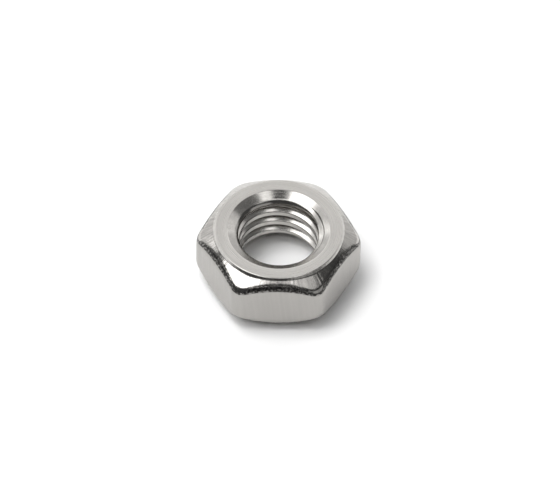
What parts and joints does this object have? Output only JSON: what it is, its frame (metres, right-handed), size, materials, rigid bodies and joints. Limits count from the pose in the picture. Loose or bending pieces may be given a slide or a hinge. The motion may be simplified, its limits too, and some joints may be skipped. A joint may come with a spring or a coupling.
{
  "type": "hex nut",
  "caption": "Plain hexagon nut in bright steel, chamfered and countersunk at both ends, with a right-hand metric thread through it, for a bolt or stud.",
  "frame": {"origin": "centre of the lower bearing face, on the thread axis", "axes": "+Z along the thread axis to the upper bearing face, +X to a corner of the hexagon, +Y square to a wrench flat"},
  "size_m": [0.0146, 0.013, 0.0061],
  "materials": {
    "bright_steel": "bright plated steel, satin faces with fine turning marks on the end faces"
  },
  "bodies": {
    "root": {"hex_nut": "bright_steel"}
  },
  "joints": []
}
